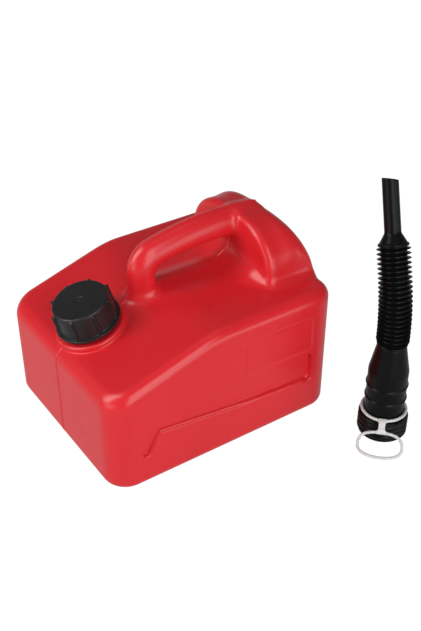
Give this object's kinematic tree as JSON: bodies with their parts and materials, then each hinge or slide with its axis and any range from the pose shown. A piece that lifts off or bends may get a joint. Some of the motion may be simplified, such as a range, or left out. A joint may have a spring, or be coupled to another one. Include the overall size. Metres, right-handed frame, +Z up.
{
  "type": "fuel can",
  "caption": "Boxy moulded fuel can with a sloping front top, an arched carrying handle, a ribbed screw cap, a flexible bellows spout and its double-loop strap.",
  "frame": {"origin": "centre of the tank's underside, on the floor that it stands on", "axes": "+X toward the humped end of the handle and -X toward the neck, -Y toward the side where the spout stands, +Z up"},
  "size_m": [0.2781, 0.3032, 0.2427],
  "materials": {
    "tank_plastic": "semi-gloss blow-moulded polyethylene",
    "cap_plastic": "satin injection-moulded plastic",
    "seal_rubber": "matt",
    "spout_plastic": "semi-gloss soft polyethylene",
    "strap_plastic": "smooth flexible plastic"
  },
  "bodies": {
    "tank": {"tank_body": "tank_plastic"},
    "cap liner": {"cap_seal": "seal_rubber"},
    "cap": {"screw_cap": "cap_plastic"},
    "spout": {"spout_base": "spout_plastic", "spout_bellows": "spout_plastic"},
    "spout tip": {"spout_nozzle": "spout_plastic"},
    "strap": {"tether_strap": "strap_plastic"}
  },
  "joints": [
    {"name": "cap_lift", "type": "slide", "parent": "tank", "child": "cap liner", "axis": [-0.2974, 0, 0.9548], "range_m": [0, 0.0217]},
    {"name": "cap_turn", "type": "hinge", "parent": "cap liner", "child": "cap", "pos_m": [-0.0822, 0, 0.11017], "axis": [-0.2974, 0, 0.9548], "range_deg": [0, 1440]},
    {"name": "spout_lift", "type": "slide", "parent": "tank", "child": "spout", "axis": [0, 0, 1], "range_m": [0, 0.15]},
    {"name": "spout_bend", "type": "hinge", "parent": "spout", "child": "spout tip", "pos_m": [0.13693, -0.15341, 0.14488], "axis": [-0.9336, 0.3584, 0], "range_deg": [-55, 27], "stiffness_Nm_per_rad": 0.08, "deforming": ["spout_bellows"]},
    {"name": "strap_swivel", "type": "hinge", "parent": "spout", "child": "strap", "pos_m": [0.1349, -0.1587, 0.0246], "axis": [0, 0, 1], "continuous": true}
  ],
  "couplings": [
    {"joint": "cap_lift", "follows": "cap_turn", "m_per_rad": 0.00085944}
  ]
}
